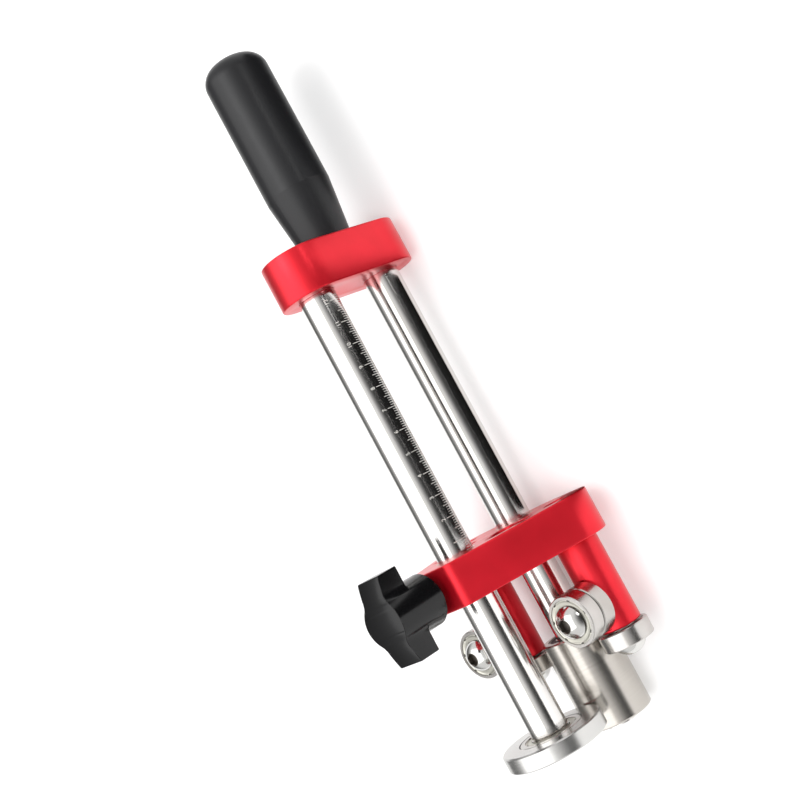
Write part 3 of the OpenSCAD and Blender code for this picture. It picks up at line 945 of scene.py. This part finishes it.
@dataclass
class RodScale:
    """Millimetre scale, etched on the upper rod beside the lower one, rising towards the handle."""

    paint: Paintbox
    radius: float = 8 * MM
    axis_z: float = 53.5 * MM
    zero_x: float = -4 * MM
    reading: int = 122
    start: float = -30.0
    stroke: float = 0.24 * MM
    lift: float = 0.012 * MM
    depth: float = 0.05 * MM
    numeral: float = 2.5 * MM
    numeral_gap: float = 0.3 * MM
    bend: float = 0.4 * MM

    def build(self) -> None:
        """Etch every mark and the numerals of the whole centimetres."""
        marks = {rank: self.mark(rank) for rank in Tick}
        pieces = []
        for millimetre in range(self.reading + 1):
            place = Matrix.Translation((self.zero_x - millimetre * MM, 0, 0))
            pieces.append(placed_copy(marks[Tick.at(millimetre)], "mark", place))
        for centimetre in range(self.reading // 10 + 1):
            pieces.append(self.number(centimetre))
        for mark in marks.values():
            discard(mark)
        scale = joined(pieces, "rod_scale")
        scale.modifiers.new("depth", "SOLIDIFY").thickness = self.depth
        bpy.ops.object.modifier_apply(modifier="depth")
        self.paint.dress(scale, ETCH)
        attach(scale, "root")
        report(scale)

    def wrap(self, piece: bpy.types.Object, x: float, up: float) -> None:
        """Bend a flat piece round the rod, its right towards the handle.

        Args:
            piece: The flat piece in X and Y.
            x: Place of its middle along the rod.
            up: Distance of its Y zero round the rod from the scale's start.
        """
        reach = self.radius + self.lift
        for vertex in piece.data.vertices:
            turn = math.radians(self.start) + (up + vertex.co.y) / self.radius
            y, z = reach * math.cos(turn), reach * math.sin(turn)
            vertex.co = (x - vertex.co.x, y, self.axis_z + z)

    def slice(self, piece: bpy.types.Object, low: float, high: float) -> None:
        """Cut a flat piece across between two heights, so that it can bend."""
        pick(piece)
        bpy.ops.object.mode_set(mode="EDIT")
        count = math.ceil((high - low) / self.bend)
        for i in range(1, count):
            height = low + (high - low) * i / count
            bpy.ops.mesh.select_all(action="SELECT")
            bpy.ops.mesh.bisect(plane_co=(0, height, 0), plane_no=(0, 1, 0))
        bpy.ops.object.mode_set(mode="OBJECT")

    def mark(self, rank: Tick) -> bpy.types.Object:
        """One mark at X zero, of that rank's length."""
        length = rank.value * MM
        bpy.ops.object.select_all(action="DESELECT")
        bpy.ops.mesh.primitive_plane_add(size=1)
        mark = bpy.context.object
        for vertex in mark.data.vertices:
            vertex.co = (vertex.co.x * self.stroke, (vertex.co.y + 0.5) * length, 0)
        self.slice(mark, 0, length)
        self.wrap(mark, 0, 0)
        return mark

    def number(self, centimetre: int) -> bpy.types.Object:
        """The numeral beside a whole centimetre's mark."""
        bpy.ops.object.select_all(action="DESELECT")
        bpy.ops.object.text_add()
        text = bpy.context.object
        text.data.body = str(centimetre)
        text.data.size = self.numeral
        text.data.align_x = "CENTER"
        text.data.align_y = "CENTER"
        text.data.resolution_u = 3
        bpy.ops.object.convert(target="MESH")
        text = bpy.context.object
        self.slice(text, -self.numeral / 2, self.numeral / 2)
        up = Tick.TEN.value * MM + self.numeral_gap + self.numeral / 2
        self.wrap(text, self.zero_x - centimetre * 10 * MM, up)
        return text


@dataclass
class PressedShield:
    """A bearing's sheet shield: an annulus with a crimped rim, notched where it was pressed in."""

    paint: Paintbox
    name: str
    inner: float
    outer: float
    notches: int
    sink: float = 0.12 * MM
    sheet: float = 0.25 * MM
    rim: tuple[float, float] = (0.05 * MM, 0.75 * MM)
    notch_depth: float = 0.3 * MM
    steps: int = 84

    def master(self) -> bpy.types.Object:
        """Spin the shield's section about Z, its outer face up and the bearing's face at zero.

        Returns:
            The shield, closed and smooth.
        """
        low = -self.sink - self.sheet
        section = [
            (self.outer, -self.sink - 0.2 * MM),
            (self.outer - 0.12 * MM, -self.sink - 0.04 * MM),
            (self.outer - 0.4 * MM, -self.sink),
            (self.outer - 0.68 * MM, -self.sink - 0.04 * MM),
            (self.outer - 0.85 * MM, -self.sink - 0.22 * MM),
            (self.outer - 1.0 * MM, low),
            (self.inner + 0.9 * MM, low + 0.02 * MM),
            (self.inner + 0.6 * MM, low + 0.1 * MM),
            (self.inner + 0.12 * MM, low + 0.1 * MM),
            (self.inner, low),
            (self.inner, low - self.sheet),
            (self.outer, low - self.sheet),
        ]
        shield = spun_section(self.name, section, self.steps)
        for finish in (SHIELD, PAINTED_GAP_SHADE):
            shield.data.materials.append(self.paint.give(finish))
        self.notch(shield)
        smooth(shield, 40.0)
        return shield

    def notch(self, shield: bpy.types.Object) -> None:
        """Press short gaps into the crimped rim, and give them painted shade.

        Args:
            shield: The spun shield.
        """
        pick(shield)
        bpy.ops.object.mode_set(mode="EDIT")
        bpy.ops.mesh.select_all(action="DESELECT")
        bpy.ops.object.mode_set(mode="OBJECT")
        pitch = math.tau / self.notches
        step = math.tau / self.steps
        for vertex in shield.data.vertices:
            x, y, z = vertex.co
            radius = math.hypot(x, y)
            turn = (math.atan2(y, x) + pitch / 2) % pitch - pitch / 2
            on_rim = self.rim[0] < self.outer - radius < self.rim[1]
            on_top = z > -self.sink - 0.1 * MM
            vertex.select = on_rim and on_top and abs(turn) < 0.9 * step
        pressed = {vertex.index for vertex in shield.data.vertices if vertex.select}
        # Painted shade: faces with two or more pressed corners take the dark gap finish.
        for face in shield.data.polygons:
            face.material_index = int(len(pressed.intersection(face.vertices)) >= 2)
        bpy.ops.object.mode_set(mode="EDIT")
        bpy.ops.transform.translate(value=(0, 0, -self.notch_depth))
        bpy.ops.object.mode_set(mode="OBJECT")


@dataclass
class RollerSeals:
    """The roller's rubber seals, each with a bead, a dished web and a lip on the inner ring."""

    paint: Paintbox
    inner: float = 8.75 * MM
    outer: float = 11.19 * MM
    rear: tuple[float, float] = (43.8 * MM, 48.8 * MM)
    front: tuple[float, float] = (78.2 * MM, 83.2 * MM)
    steps: int = 72

    def build(self) -> None:
        """Set a seal on both faces of both bearings."""
        seal = self.master()
        pieces = []
        for bearing in (self.rear, self.front):
            for x, way in zip(bearing, (-1, 1)):
                place = Matrix.Translation((x, ROLLER_AXIS[1], ROLLER_AXIS[2]))
                turn = Matrix.Rotation(way * math.pi / 2, 4, "Y")
                pieces.append(placed_copy(seal, "seal", place @ turn))
        discard(seal)
        seals = joined(pieces, "roller_seals_lipped")
        self.paint.dress(seals, RUBBER)
        hand_over(seals, "roller_seals", "roller")

    def master(self) -> bpy.types.Object:
        """Spin the seal's section about Z, its outer face up and the bearing's face at zero.

        Returns:
            The seal, closed and smooth.
        """
        section = [
            (self.outer, -0.45 * MM),
            (self.outer, -0.18 * MM),
            (self.outer - 0.14 * MM, -0.06 * MM),
            (self.outer - 0.42 * MM, -0.06 * MM),
            (self.outer - 0.56 * MM, -0.2 * MM),
            (self.outer - 0.7 * MM, -0.3 * MM),
            (self.inner + 0.75 * MM, -0.34 * MM),
            (self.inner + 0.6 * MM, -0.24 * MM),
            (self.inner + 0.3 * MM, -0.14 * MM),
            (self.inner + 0.08 * MM, -0.16 * MM),
            (self.inner, -0.26 * MM),
            (self.inner, -0.6 * MM),
            (self.outer - 0.3 * MM, -0.6 * MM),
        ]
        seal = spun_section("roller_seal", section, self.steps)
        smooth(seal, 40.0)
        return seal


@dataclass(frozen=True)
class Seat:
    """Where a shielded bearing sits: its middle, axis, width and the body that turns it."""

    node: str
    body: str
    middle: Point
    width: float
    axis: Axis

    def faces(self) -> list[Matrix]:
        """The two places of a shield that is modelled about Z, one on each face."""
        turn = Matrix.Identity(4) if self.axis is Axis.UP else Matrix.Rotation(math.pi / 2, 4, "Y")
        half = Matrix.Translation((0, 0, self.width / 2))
        over = Matrix.Rotation(math.pi, 4, "X")
        middle = Matrix.Translation(self.middle) @ turn
        return [middle @ half, middle @ over @ half]


@dataclass
class Bearings:
    """The shields of the guide bearings and of the disc's bearing."""

    paint: Paintbox
    end_x: float = 51 * MM
    low_z: float = 32 * MM
    high_z: float = 39.5 * MM
    notches: int = 7
    guide_radii: tuple[float, float] = (6.2 * MM, 9.49 * MM)
    disc_radii: tuple[float, float] = (8.6 * MM, 11.49 * MM)

    def seats(self) -> list[Seat]:
        """Every guide bearing's seat."""
        seats = []
        for side in Side:
            y = side.value * ARM_Y
            for level, middle, axis in (
                ("lower", (STACK_X, y, self.low_z), Axis.UP),
                ("upper", (STACK_X, y, self.high_z), Axis.UP),
                ("end", (self.end_x, y, ARM_Z), Axis.ALONG),
            ):
                name = f"{side.name.lower()}_{level}"
                body = f"{name}_bearing"
                seats.append(Seat(f"{name}_shields", body, middle, BEARING_WIDTH, axis))
        return seats

    def build(self) -> None:
        """Press one shield of each size and set a copy on each bearing's face."""
        guide = PressedShield(self.paint, "guide_shield", *self.guide_radii, self.notches).master()
        disc = PressedShield(self.paint, "disc_shield", *self.disc_radii, self.notches).master()
        for seat in self.seats():
            self.fit(guide, seat)
        self.fit(disc, Seat("disc_shields", "disc", DISC_AXIS, BEARING_WIDTH, Axis.ALONG))
        discard(guide)
        discard(disc)

    def fit(self, master: bpy.types.Object, seat: Seat) -> None:
        """Set a shield on both faces of a bearing.

        Args:
            master: The shield that is copied.
            seat: The bearing.
        """
        pair = [placed_copy(master, "shield", place) for place in seat.faces()]
        piece = joined(pair, f"{seat.node}_pressed")
        hand_over(piece, seat.node, seat.body)


@dataclass(frozen=True)
class Lamp:
    """A rectangular lamp, with its place, its size in metres and its power in watts."""

    name: str
    at: Point
    size: tuple[float, float]
    power: float
    gloss: bool = True
    down: bool = False


@dataclass(frozen=True)
class DarkSide:
    """A side where the room is darker, and the cosines between which the light falls."""

    towards: Point
    span: tuple[float, float]
    dark: float


# A wide soft box overhead, a fill on the camera's side and two strips that edge the grip.
LAMPS = (
    Lamp("sky", (-0.1, -0.15, 0.9), (1.6, 1.3), 9.0, down=True),
    Lamp("front", (0.1, 0.85, 0.55), (0.5, 0.5), 6.0, gloss=False),
    Lamp("grip_side", (-0.47, 0.87, 0.26), (0.3, 0.1), 0.6),
    Lamp("grip_top", (-0.47, 0.05, 0.85), (0.3, 0.1), 0.6),
)
FAR_SIDE = DarkSide((0.0, -0.94, -0.34), (0.2, 0.8), 0.18)
CAMERA_SIDE = DarkSide((0.0, 0.985, -0.17), (0.42, 0.95), 0.05)


@dataclass
class Studio:
    """Floor, world, lamps, cards and the camera."""

    aim: Point = (-0.076, 0.0, 0.040)
    distance: float = 0.52
    tilt: float = 42.0
    turn: float = 4.5
    along: tuple[float, float] = (0.475, 0.880)
    scale: float = 2.4
    clip: tuple[float, float] = (0.01, 20.0)
    floor_size: float = 8.0
    floor_drop: float = 0.05 * MM
    glow_from: tuple[float, float] = (0.25, 1.4)
    glow: tuple[float, float] = (0.16, 0.62)
    soft_light: float = 0.5
    card_height: float = 0.3 * MM
    card_start: float = 14.5 * MM
    rod_card_end: float = 3.0
    grip_card_end: float = 0.4

    def build(self) -> None:
        """Set the whole studio up."""
        self.floor()
        self.world()
        self.lamps()
        self.cards()
        self.camera()
        bpy.context.scene.view_settings.view_transform = "Standard"

    def floor(self) -> None:
        """A wide pale floor, which glows more the farther it is from the tool."""
        bpy.ops.object.select_all(action="DESELECT")
        bpy.ops.mesh.primitive_plane_add(size=self.floor_size, location=(0, 0, -self.floor_drop))
        floor = bpy.context.object
        floor.name = "floor"
        material, tree, surface = Finish("pale_floor", "f2f2f2", 0.9, 0.0).shader()
        surface.inputs["Specular IOR Level"].default_value = 0.0
        rays = add_node(tree, "ShaderNodeLightPath")
        seen = add_node(
            tree,
            "ShaderNodeMath",
            links={0: rays.outputs["Is Camera Ray"], 1: rays.outputs["Is Glossy Ray"]},
            operation="MAXIMUM",
        )
        through = add_node(
            tree,
            "ShaderNodeMath",
            links={0: seen.outputs["Value"], 1: rays.outputs["Is Transmission Ray"]},
            operation="MAXIMUM",
        )
        place = add_node(tree, "ShaderNodeTexCoord")
        away = add_node(
            tree,
            "ShaderNodeVectorMath",
            links={0: place.outputs["Object"]},
            operation="LENGTH",
        )
        (near, far), (least, most) = self.glow_from, self.glow
        paler = add_node(
            tree,
            "ShaderNodeMapRange",
            {"From Min": near, "From Max": far, "To Min": least, "To Max": most},
            {"Value": away.outputs["Value"]},
        )
        glow = add_node(
            tree,
            "ShaderNodeMath",
            links={0: through.outputs["Value"], 1: paler.outputs["Result"]},
            operation="MULTIPLY",
        )
        surface.inputs["Emission Color"].default_value = grey(1.0)
        tree.links.new(glow.outputs["Value"], surface.inputs["Emission Strength"])
        floor.data.materials.append(material)

    def world(self) -> None:
        """White for the camera, and for the rest a bright room with two darker sides."""
        world = bpy.data.worlds.new("studio")
        bpy.context.scene.world = world
        world.use_nodes = True
        tree = world.node_tree
        back = tree.nodes["Background"]
        rays = add_node(tree, "ShaderNodeLightPath")
        far = self.room(tree, FAR_SIDE)
        near = self.room(tree, CAMERA_SIDE)
        soft = add_node(
            tree,
            "ShaderNodeMapRange",
            {"To Min": 1.0, "To Max": self.soft_light},
            {"Value": rays.outputs["Is Diffuse Ray"]},
        )
        gloss = add_node(
            tree,
            "ShaderNodeMapRange",
            {"To Min": 1.0},
            {"Value": rays.outputs["Is Glossy Ray"], "To Max": near},
        )
        room = add_node(
            tree,
            "ShaderNodeMath",
            links={0: soft.outputs["Result"], 1: gloss.outputs["Result"]},
            operation="MULTIPLY",
        )
        shade = add_node(
            tree,
            "ShaderNodeMath",
            links={0: room.outputs["Value"], 1: far},
            operation="MULTIPLY",
        )
        seen = add_node(
            tree,
            "ShaderNodeMath",
            links={0: shade.outputs["Value"], 1: rays.outputs["Is Camera Ray"]},
            operation="MAXIMUM",
        )
        tree.links.new(seen.outputs["Value"], back.inputs["Strength"])
        back.inputs["Color"].default_value = grey(1.0)

    def room(self, tree: bpy.types.NodeTree, side: DarkSide) -> bpy.types.NodeSocket:
        """Brightness of the room, which falls off towards one side.

        Args:
            tree: The world's node tree.
            side: The darker side.

        Returns:
            The brightness output, at most 1.
        """
        place = add_node(tree, "ShaderNodeTexCoord")
        angle = add_node(
            tree,
            "ShaderNodeVectorMath",
            {1: side.towards},
            {0: place.outputs["Generated"]},
            operation="DOT_PRODUCT",
        )
        start, end = side.span
        fall = add_node(
            tree,
            "ShaderNodeMapRange",
            {"From Min": start, "From Max": end, "To Min": 1.0, "To Max": side.dark},
            {"Value": angle.outputs["Value"]},
            interpolation_type="SMOOTHSTEP",
        )
        return fall.outputs["Result"]

    def lamps(self) -> None:
        """Hang the lamps, each turned to the tool or straight down."""
        for lamp in LAMPS:
            data = bpy.data.lights.new(lamp.name, "AREA")
            data.shape = "RECTANGLE"
            data.size, data.size_y = lamp.size
            data.energy = lamp.power
            holder = bpy.data.objects.new(lamp.name, data)
            bpy.context.scene.collection.objects.link(holder)
            holder.location = lamp.at
            holder.visible_glossy = lamp.gloss
            aim = Vector((0.0, 0.0, -1.0)) if lamp.down else Vector(self.aim) - Vector(lamp.at)
            holder.rotation_euler = aim.to_track_quat("-Z", "Y").to_euler()

    def cards(self) -> None:
        """Black cards on the floor beside the rods and the grip, seen by their gloss alone."""
        material = bpy.data.materials.new("black_card")
        material.use_nodes = True
        surface = material.node_tree.nodes["Principled BSDF"]
        surface.inputs["Base Color"].default_value = grey(0.01)
        surface.inputs["Roughness"].default_value = 1.0
        surface.inputs["Specular IOR Level"].default_value = 0.0
        for name, near, far, end in (
            ("rods", (-0.127, -0.011), (0.11, -0.82), self.rod_card_end),
            ("grip", (-0.3, -0.165), (-0.3, -0.5), self.grip_card_end),
        ):
            corners = [(x, self.card_start, self.card_height) for x in near]
            corners += [(x, end, self.card_height) for x in far]
            card = corner_ring(f"black_card_{name}", corners, "NGON")
            card.data.materials.append(material)
            for ray in ("camera", "diffuse", "shadow", "transmission"):
                setattr(card, f"visible_{ray}", False)

    def camera(self) -> None:
        """Look down on the tool's left side, with its length turned in the picture."""
        lean, swing = math.radians(self.tilt), math.radians(self.turn)
        level = math.cos(swing)
        back = Vector((math.sin(swing), level * math.cos(lean), level * math.sin(lean)))
        length = (Vector((1.0, 0.0, 0.0)) - back * back.x).normalized()
        rise = length.cross(back)
        right, down = Vector(self.along).normalized()
        across = right * length - down * rise
        up = -down * length - right * rise
        turn = Matrix((across, up, back)).transposed().to_4x4()
        data = bpy.data.cameras.new("camera")
        data.lens = data.sensor_width * self.scale / MM * self.distance / PICTURE
        data.clip_start, data.clip_end = self.clip
        camera = bpy.data.objects.new("camera", data)
        bpy.context.scene.collection.objects.link(camera)
        camera.matrix_world = Matrix.Translation(Vector(self.aim) + self.distance * back) @ turn
        bpy.context.scene.camera = camera


def main() -> None:
    """Build and dress the tool, then the studio."""
    logging.basicConfig(level=logging.INFO, format="%(message)s")
    paint = Paintbox()
    Solids(paint).dress()
    RedPlates(paint).build()
    Disc(paint).build()
    Clamp(paint).build()
    RodScale(paint).build()
    Bearings(paint).build()
    RollerSeals(paint).build()
    Studio().build()


if __name__ == "__main__":
    main()
